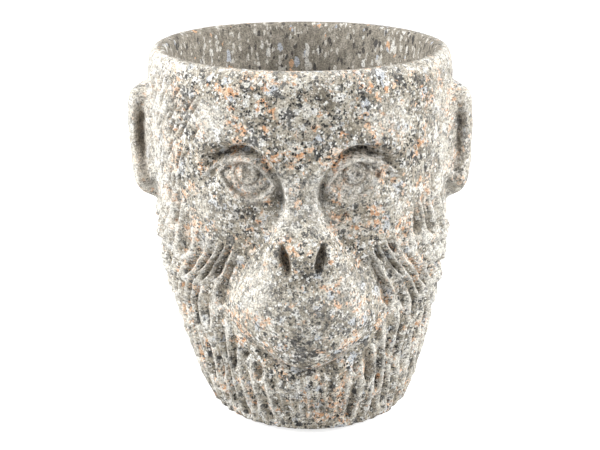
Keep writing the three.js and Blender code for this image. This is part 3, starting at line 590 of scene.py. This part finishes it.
def bowlProfile(inset, top, wallRows, filletRows):
    # the bowl's half-section from the top of its wall to the middle of its floor, drawn in by an inset
    f = headForm
    spread = f["lipRadius"] - f["lipWall"] - f["bowlFloorRadius"]
    lean = math.atan2(spread, bodyHeight - f["floorThickness"])
    floor = f["floorThickness"] + inset
    fillet = f["bowlFillet"] - inset
    middle = bowlRadius(floor + fillet) - inset / math.cos(lean) - fillet / math.cos(lean)
    angle = np.linspace(-lean, -math.pi / 2, filletRows)
    filletR = middle + fillet * np.cos(angle)
    filletZ = floor + fillet + fillet * np.sin(angle)
    wallZ = np.linspace(top, filletZ[0], wallRows, endpoint=False)
    wallR = bowlRadius(wallZ) - inset / math.cos(lean)
    floorR = np.array([0.5, 0.08]) * middle
    return np.concatenate([wallR, filletR, floorR]), np.concatenate([wallZ, filletZ, np.full(2, floor)])


def drawnIn(ring, amount, z):
    # a ring moved towards the axis by an amount, and set at a height
    flat = np.hypot(ring[:, 0], ring[:, 1])
    share = (flat - amount) / flat
    return np.stack([ring[:, 0] * share, ring[:, 1] * share, np.full(len(flat), z)], -1)


def buildHead():
    # rings from the underside up the outside, over the lip and down the bowl to its floor
    f = headForm
    steps = columnSteps(f["columns"])
    shoulder = bodyHeight - f["lipDrop"]
    roll = np.sin(np.linspace(0, math.pi / 2, f["lipRows"] + 1)[1:])
    z = np.concatenate([bodyRows(shoulder), bodyHeight - f["lipDrop"] * (1 - roll)])[:, None]
    body, shadeAndDirt, highlightAndWear = headPoints(steps[None, :], z)
    rings = [drawnIn(body[0], amount, 0) for amount in (f["baseFlat"], f["baseRound"])]
    for angle in np.linspace(0, math.pi / 2, 4)[1:-1]:
        inwards, up = 1 - math.sin(angle), 1 - math.cos(angle)
        rings.append(drawnIn(body[0], f["baseRound"] * inwards, f["baseRound"] * up))
    rings += list(body)
    outside = len(rings)
    turn = lockTurn(steps, bodyHeight)
    circle = np.stack([np.sin(turn), -np.cos(turn)], -1)
    rimR = bowlRadius(bodyHeight - f["lipInnerRound"])
    profileR, profileZ = bowlProfile(0, bodyHeight - f["lipInnerRound"], 5, 5)
    angle = np.linspace(math.pi / 2, 0, 6)[:-1]
    profileR = np.concatenate([rimR + f["lipInnerRound"] * (1 - np.cos(angle)), profileR])
    profileZ = np.concatenate([bodyHeight - f["lipInnerRound"] * (1 - np.sin(angle)), profileZ])
    for r, height in zip(profileR, profileZ):
        rings.append(np.column_stack([circle * r, np.full(len(turn), height)]))
    piece = meshFromRings("cast_head", np.array(rings) + (axisX, axisY, stand))
    castFace = np.zeros(len(piece.data.vertices), np.float32)  # 1 inside the bowl and on the underside
    castFace[outside * len(turn):] = 1
    castFace[:2 * len(turn)] = 1
    piece.data.attributes.new("castFace", "FLOAT", "POINT").data.foreach_set("value", castFace)
    # the painted shade and dirt, and the painted highlights and wear, as attributes of the outside
    for name, amount in (("shadeAndDirt", shadeAndDirt), ("highlightAndWear", highlightAndWear)):
        values = np.zeros_like(castFace)
        values[outside * len(turn) - amount.size:outside * len(turn)] = amount.ravel()
        piece.data.attributes.new(name, "FLOAT", "POINT").data.foreach_set("value", values)
    return piece


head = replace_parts(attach(buildHead(), "root"), "head_casting")
print("head built,", len(head.data.polygons), "faces")


# the waterproof coat in the bowl

coatForm = {
    "gap": 0.3, "thickness": 0.8, "edgeWave": 1.6, "waveFrom": 0.6,
    "columns": 160, "wallRows": 10, "filletRows": 7,
}


def buildCoat():
    # the bowl's section twice, outside and inside, joined over a brushed upper edge that waves a little
    c = coatForm
    top = (coatHigh.z / mm) - stand - c["edgeWave"]
    turn = np.linspace(-np.pi, np.pi, c["columns"], endpoint=False)
    wave = c["edgeWave"] * (0.6 * np.sin(turn * 7 + 1.2) + 0.4 * np.sin(turn * 13 + 0.3))
    innerR, innerZ = bowlProfile(c["gap"] + c["thickness"], top, c["wallRows"], c["filletRows"])
    outerR, outerZ = bowlProfile(c["gap"], top, c["wallRows"], c["filletRows"])
    edgeR = (innerR[0] + outerR[0]) / 2
    r = np.concatenate([outerR[::-1], [edgeR], innerR])
    height = np.concatenate([outerZ[::-1], [top + c["thickness"] / 2], innerZ])
    share = np.clip((height - c["waveFrom"] * top) / ((1 - c["waveFrom"]) * top), 0, 1)
    z = height[:, None] + share[:, None] * wave[None, :]
    rings = np.stack([r[:, None] * np.sin(turn) + axisX, -r[:, None] * np.cos(turn) + axisY, z + stand], -1)
    return meshFromRings("bowl_coat", rings)


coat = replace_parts(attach(buildCoat(), "root"), "waterproof_coat")
print("coat built")


# the pads

padForm = {"edgeRound": 0.6, "columns": 64}


def buildPad(node):
    # a disc turned from a half-section with both edges rounded
    low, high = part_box(node)
    middle = (low + high) / 2 / mm
    radius = (high.x - low.x) / 2 / mm
    thick = (high.z - low.z) / mm
    p = padForm
    turn = np.linspace(-np.pi, np.pi, p["columns"], endpoint=False)
    angle = np.linspace(-math.pi / 2, 0, 5)
    edgeR = radius - p["edgeRound"] + p["edgeRound"] * np.cos(angle)
    edgeZ = p["edgeRound"] + p["edgeRound"] * np.sin(angle)
    r = np.concatenate([[0.1 * radius, 0.6 * radius], edgeR, edgeR[::-1], [0.6 * radius, 0.1 * radius]])
    z = np.concatenate([[0, 0], edgeZ, thick - edgeZ[::-1], [thick, thick]])
    rings = np.stack([
        middle.x + r[:, None] * np.sin(turn), middle.y - r[:, None] * np.cos(turn),
        low.z / mm + z[:, None] + 0 * turn], -1)
    return meshFromRings(node.replace("foot_pad", "soft_pad"), rings)


pads = [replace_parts(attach(buildPad(node), "root"), node)
        for node in sorted(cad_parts) if node.startswith("foot_pad")]
print("pads built,", len(pads))


# materials: colours are linear, a noise is its scale per metre, detail and roughness

def newMaterial(name):
    material = bpy.data.materials.new(name)
    material.use_nodes = True
    tree = material.node_tree
    place = tree.nodes.new("ShaderNodeTexCoord").outputs["Object"]
    return material, tree, tree.nodes["Principled BSDF"], place


def feed(tree, socket, value):  # a colour, a number or another node's output
    if isinstance(value, tuple):
        socket.default_value = (*value, 1)
    elif isinstance(value, (int, float)):
        socket.default_value = value
    else:
        tree.links.new(value, socket)


def ramp(tree, value, stops, constant=False):
    node = tree.nodes.new("ShaderNodeValToRGB")
    node.color_ramp.interpolation = "CONSTANT" if constant else "LINEAR"
    while len(node.color_ramp.elements) < len(stops):
        node.color_ramp.elements.new(0.5)
    for element, (at, colour) in zip(node.color_ramp.elements, stops):
        element.position = at
        element.color = (*colour, 1) if len(colour) == 3 else colour
    tree.links.new(value, node.inputs["Fac"])
    return node.outputs


def mathNode(tree, operation, *values):
    node = tree.nodes.new("ShaderNodeMath")
    node.operation = operation
    for socket, value in zip(node.inputs, values):
        feed(tree, socket, value)
    return node.outputs[0]


def mixColour(tree, share, first, second, blend="MIX"):
    node = tree.nodes.new("ShaderNodeMix")
    node.data_type = "RGBA"
    node.blend_type = blend
    for socket, value in ((0, share), (6, first), (7, second)):  # the node's sockets for colours
        feed(tree, node.inputs[socket], value)
    return node.outputs[2]


def noise(tree, place, scale, detail, rough):
    node = tree.nodes.new("ShaderNodeTexNoise")
    node.inputs["Scale"].default_value = scale
    node.inputs["Detail"].default_value = detail
    node.inputs["Roughness"].default_value = rough
    tree.links.new(place, node.inputs["Vector"])
    return node.outputs


def cellsOf(tree, place, scale):
    node = tree.nodes.new("ShaderNodeTexVoronoi")
    node.inputs["Scale"].default_value = scale
    tree.links.new(place, node.inputs["Vector"])
    return node.outputs


def numbersOf(tree, cells):  # the random numbers of each cell, as red, green and blue
    node = tree.nodes.new("ShaderNodeSeparateColor")
    tree.links.new(cells["Color"], node.inputs["Color"])
    return node.outputs


def mapped(tree, place, shift=(0, 0, 0), stretch=(1, 1, 1)):
    node = tree.nodes.new("ShaderNodeMapping")
    node.inputs["Location"].default_value = shift
    node.inputs["Scale"].default_value = stretch
    tree.links.new(place, node.inputs["Vector"])
    return node.outputs["Vector"]


def attribute(tree, name):
    node = tree.nodes.new("ShaderNodeAttribute")
    node.attribute_name = name
    return node.outputs["Fac"]


def bumped(tree, shader, height, strength, depth):  # depth in millimetres
    node = tree.nodes.new("ShaderNodeBump")
    node.inputs["Strength"].default_value = strength
    node.inputs["Distance"].default_value = depth * mm
    tree.links.new(height, node.inputs["Height"])
    tree.links.new(node.outputs["Normal"], shader.inputs["Normal"])


cementLook = {
    "paste": ((0.36, (0.12, 0.103, 0.077)), (0.48, (0.335, 0.296, 0.23)), (0.6, (0.63, 0.58, 0.485)),
              (0.72, (0.8, 0.765, 0.68))),
    "pasteNoise": (110, 9, 0.75),
    # chips: sizes in mm, and colours picked by a number from 0 to 1, where None leaves the chip out
    "layers": (
        {"size": 5.4, "warp": 8.0, "reach": (0.2, 0.66), "patch": 30.0, "drift": 1.2, "chips": (
            (0.0, (0.13, 0.126, 0.12)), (0.16, None), (0.54, (0.58, 0.61, 0.645)),
            (0.72, (0.76, 0.735, 0.67)), (0.92, None))},
        {"size": 2.6, "warp": 4.8, "reach": (0.22, 0.72), "patch": 17.0, "drift": 1.5, "chips": (
            (0.0, (0.045, 0.044, 0.044)), (0.22, (0.19, 0.185, 0.17)), (0.38, None),
            (0.60, (0.55, 0.54, 0.5)), (0.70, (0.82, 0.815, 0.79)), (0.94, (0.80, 0.56, 0.38)))},
    ),
    "specks": (
        {"size": 1.1, "warp": 2.2, "reach": (0.25, 0.8), "patch": 9.0, "drift": 1.2, "chips": (
            (0.0, (0.03, 0.029, 0.028)), (0.27, (0.2, 0.185, 0.16)), (0.37, None),
            (0.73, (0.68, 0.65, 0.57)), (0.84, (0.88, 0.87, 0.83)))},
    ),
    "rawLayers": (
        {"size": 1.6, "warp": 2.2, "reach": (0.3, 0.75), "patch": 12.0, "drift": 0.8, "chips": (
            (0.0, (0.10, 0.09, 0.08)), (0.12, (0.22, 0.2, 0.165)), (0.24, None),
            (0.82, (0.66, 0.63, 0.57)))},
        {"size": 2.9, "warp": 4.0, "reach": (0.15, 0.6), "patch": 20.0, "drift": 1.0, "chips": (
            (0.0, (0.085, 0.08, 0.075)), (0.08, None), (0.72, (0.74, 0.725, 0.68)),
            (0.88, (0.52, 0.545, 0.59)), (0.96, (0.70, 0.44, 0.27)))},
    ),
    "chipEdge": 0.06,
    "rust": ((0.0, (0.70, 0.39, 0.21, 1)), (0.25, (0.80, 0.56, 0.38, 1)), (0.45, (0.86, 0.74, 0.62, 1)),
             (0.66, (0.4, 0.3, 0.2, 0))),
    "rustNoise": (1000 / 11.0, 5, 0.62), "rustBounds": (0.55, 0.59), "rustGrain": 1.7,
    "rawPaste": ((0.3, (0.17, 0.15, 0.12)), (0.5, (0.31, 0.28, 0.23)), (0.7, (0.48, 0.44, 0.375))),
    "rawNoise": (260, 6, 0.7), "rawStretch": (1, 1, 0.55),
    # a pale colour for painted highlights and wear, and a brown one for painted shade and dirt
    "highlightWearPatches": ((0.4, (0.25, 0.25, 0.25)), (0.6, (1, 1, 1))), "highlightWearNoise": (1000 / 3.0, 5, 0.7),
    "highlightWearColour": (0.84, 0.81, 0.74), "shadeDirtColour": (0.29, 0.24, 0.185), "shadeDirtShare": 0.85,
    "grain": ((0.38, (0.52, 0.52, 0.52)), (0.58, (1.06, 1.06, 1.06))), "grainNoise": (1000 / 0.75, 3, 0.6),
    "roughness": 0.85, "bumpNoise": (700, 6, 0.7), "bump": (0.5, 0.8),
}


def chipped(tree, place, colour, layers, seed):
    # stone chips over a colour: warped cells, each with a random number that picks its colour or leaves it
    # out, and another that sets how far the chip reaches from its cell's middle. A slow noise shifts the
    # first number, so that some patches are darker than others
    for number, layer in enumerate(layers, seed):
        shifted = mapped(tree, place, (0.31 * number, 0.17 * number, 0.23 * number))
        waves = noise(tree, shifted, 1300 / layer["size"], 5, 0.66)["Color"]
        warp = tree.nodes.new("ShaderNodeVectorMath")
        warp.operation = "MULTIPLY_ADD"
        warp.inputs[1].default_value = (layer["warp"] * mm,) * 3
        tree.links.new(waves, warp.inputs[0])
        tree.links.new(shifted, warp.inputs[2])
        cells = cellsOf(tree, warp.outputs["Vector"], 1000 / layer["size"])
        numbers = numbersOf(tree, cells)
        slow = noise(tree, shifted, 1000 / layer["patch"], 3, 0.6)["Fac"]
        drift = mathNode(tree, "MULTIPLY_ADD", slow, layer["drift"], -layer["drift"] / 2)
        pick = mathNode(tree, "ADD", numbers["Red"], drift)
        stops = [(at, (*shade, 1) if shade else (0, 0, 0, 0)) for at, shade in layer["chips"]]
        chip = ramp(tree, pick, stops, True)
        near, far = layer["reach"]
        reach = mathNode(tree, "MULTIPLY_ADD", numbers["Green"], far - near, near)
        inside = mathNode(tree, "SUBTRACT", reach, cells["Distance"])
        edge = ramp(tree, inside, ((0.0, (0, 0, 0)), (cementLook["chipEdge"], (1, 1, 1))))["Color"]
        share = mathNode(tree, "MULTIPLY", edge, chip["Alpha"])
        colour = mixColour(tree, share, colour, chip["Color"])
    return colour


def rusted(tree, place, colour):
    # clusters of rust and tan grains: small cells of these colours where a slow noise is high
    look = cementLook
    slow = noise(tree, place, *look["rustNoise"])["Fac"]
    low, high = look["rustBounds"]
    where = ramp(tree, slow, ((low, (0, 0, 0)), (high, (1, 1, 1))))["Color"]
    numbers = numbersOf(tree, cellsOf(tree, place, 1000 / look["rustGrain"]))
    grain = ramp(tree, numbers["Red"], look["rust"], True)
    share = mathNode(tree, "MULTIPLY", where, grain["Alpha"])
    return mixColour(tree, share, colour, grain["Color"])


def cementMaterial():
    # washed chips outside, raw streaky paste inside and below, painted highlights with some wear on crests,
    # and painted shade with some dirt in grooves
    look = cementLook
    material, tree, shader, place = newMaterial("speckled_cement")

    def toned(where, noiseName, tones):  # a noise turned into colours
        return ramp(tree, noise(tree, where, *look[noiseName])["Fac"], look[tones])["Color"]

    washed = chipped(tree, place, toned(place, "pasteNoise", "paste"), look["layers"], 1)
    washed = chipped(tree, place, rusted(tree, place, washed), look["specks"], 10)
    patches = toned(place, "highlightWearNoise", "highlightWearPatches")
    # painted highlights and wear, broken into patches
    highlightAndWear = mathNode(tree, "MULTIPLY", attribute(tree, "highlightAndWear"), patches)
    washed = mixColour(tree, highlightAndWear, washed, look["highlightWearColour"])
    # painted shade and dirt, multiplied in brown
    shadeAndDirt = mathNode(tree, "MULTIPLY", attribute(tree, "shadeAndDirt"), look["shadeDirtShare"])
    tinted = mixColour(tree, shadeAndDirt, washed, look["shadeDirtColour"], "MULTIPLY")
    streak = mapped(tree, place, stretch=look["rawStretch"])
    raw = chipped(tree, streak, toned(streak, "rawNoise", "rawPaste"), look["rawLayers"], 20)
    colour = mixColour(tree, attribute(tree, "castFace"), tinted, raw)
    colour = mixColour(tree, 1.0, colour, toned(place, "grainNoise", "grain"), "MULTIPLY")
    tree.links.new(colour, shader.inputs["Base Color"])
    shader.inputs["Roughness"].default_value = look["roughness"]
    bumped(tree, shader, noise(tree, place, *look["bumpNoise"])["Fac"], *look["bump"])
    return material


sealerLook = {
    "tones": ((0.2, (0.15, 0.135, 0.115)), (0.55, (0.26, 0.235, 0.205)), (0.9, (0.36, 0.33, 0.29))),
    "noise": (220, 6, 0.6), "roughness": 0.38, "coat": 0.4,
    "strokes": (1, 1, 6), "strokeNoise": (120, 3, 0.55), "bump": (0.25, 0.5),
}


def sealerMaterial():
    # blotchy tones under a gloss, with the brush's strokes as bump
    look = sealerLook
    material, tree, shader, place = newMaterial("satin_sealer")
    blotches = noise(tree, place, *look["noise"])["Fac"]
    tree.links.new(ramp(tree, blotches, look["tones"])["Color"], shader.inputs["Base Color"])
    shader.inputs["Roughness"].default_value = look["roughness"]
    shader.inputs["Coat Weight"].default_value = look["coat"]
    strokes = mapped(tree, place, stretch=look["strokes"])
    bumped(tree, shader, noise(tree, strokes, *look["strokeNoise"])["Fac"], *look["bump"])
    return material


padLook = {
    "cells": 2200, "tones": ((0.0, (0.012, 0.012, 0.012)), (0.6, (0.035, 0.034, 0.033))),
    "roughness": 0.9, "bump": (0.5, 0.2),
}


def padMaterial():
    # dark foam, its cells both in the colour and in the bump
    look = padLook
    material, tree, shader, place = newMaterial("foam_rubber")
    cells = cellsOf(tree, place, look["cells"])["Distance"]
    tree.links.new(ramp(tree, cells, look["tones"])["Color"], shader.inputs["Base Color"])
    shader.inputs["Roughness"].default_value = look["roughness"]
    bumped(tree, shader, cells, *look["bump"])
    return material


def dress(piece, material):
    piece.data.materials.clear()
    piece.data.materials.append(material)


dress(head, cementMaterial())
dress(coat, sealerMaterial())
foam = padMaterial()
for pad in pads:
    dress(pad, foam)
print("materials set")


# camera, light and floor

cameraForm = {  # millimetres and degrees
    "distance": 860.0, "height": 330.9, "pitch": 15.9, "lens": 106.85, "sensor": 36,
}


def buildCamera():
    c = cameraForm
    data = bpy.data.cameras.new("photo_camera")
    data.sensor_width = c["sensor"]
    data.lens = c["lens"]
    data.clip_start = 0.01
    camera = bpy.data.objects.new("photo_camera", data)
    camera.location = (axisX * mm, (axisY - c["distance"]) * mm, c["height"] * mm)
    camera.rotation_euler = (math.radians(90 - c["pitch"]), 0, 0)
    bpy.context.scene.collection.objects.link(camera)
    bpy.context.scene.camera = camera


studio = {
    "lamps": (  # name, place in metres, height aimed at, size in metres, watts
        ("left_softbox", (-1.0, -0.14, 0.58), 0.10, 0.7, 16.0),
        ("right_softbox", (1.0, -0.14, 0.58), 0.10, 0.7, 13.8),
        ("top_softbox", (0.0, -0.3, 1.1), 0.15, 0.6, 5.0),
    ),
    "ambient": 0.37, "floorHalf": 3, "floorColour": 0.65, "floorLift": 0.8, "floorRoughness": 0.9,
}


def buildLights():
    # three softboxes and a dim white room, which the camera sees as full white
    for name, place, aim, size, watts in studio["lamps"]:
        data = bpy.data.lights.new(name, "AREA")
        data.shape = "DISK"
        data.size = size
        data.energy = watts
        lamp = bpy.data.objects.new(name, data)
        lamp.location = place
        lamp.rotation_euler = (Vector((0, 0, aim)) - Vector(place)).to_track_quat("-Z", "Y").to_euler()
        bpy.context.scene.collection.objects.link(lamp)
    world = bpy.data.worlds.new("studio")
    bpy.context.scene.world = world
    world.use_nodes = True
    nodes, links = world.node_tree.nodes, world.node_tree.links
    soft = nodes["Background"]
    soft.inputs["Color"].default_value = (1, 1, 1, 1)
    soft.inputs["Strength"].default_value = studio["ambient"]
    white = nodes.new("ShaderNodeBackground")
    white.inputs["Strength"].default_value = 1
    path = nodes.new("ShaderNodeLightPath")
    blend = nodes.new("ShaderNodeMixShader")
    links.new(path.outputs["Is Camera Ray"], blend.inputs[0])
    links.new(soft.outputs[0], blend.inputs[1])
    links.new(white.outputs[0], blend.inputs[2])
    links.new(blend.outputs[0], nodes["World Output"].inputs["Surface"])


def buildFloor():
    # white to the camera, with the pot's shadow on it, and plain pale to all other light
    far = studio["floorHalf"]
    mesh = bpy.data.meshes.new("floor")
    mesh.from_pydata([(-far, -far, 0), (far, -far, 0), (far, far, 0), (-far, far, 0)], [], [(0, 1, 2, 3)])
    floor = bpy.data.objects.new("floor", mesh)
    bpy.context.scene.collection.objects.link(floor)
    material, tree, shader, _ = newMaterial("white_floor")
    pale = studio["floorColour"]
    shader.inputs["Base Color"].default_value = (pale, pale, pale, 1)
    shader.inputs["Roughness"].default_value = studio["floorRoughness"]
    shader.inputs["Emission Color"].default_value = (1, 1, 1, 1)
    path = tree.nodes.new("ShaderNodeLightPath")
    lift = mathNode(tree, "MULTIPLY", path.outputs["Is Camera Ray"], studio["floorLift"])
    tree.links.new(lift, shader.inputs["Emission Strength"])
    dress(floor, material)


buildCamera()
buildLights()
buildFloor()
bpy.context.scene.view_settings.view_transform = "Standard"
print("camera, lights and floor set")
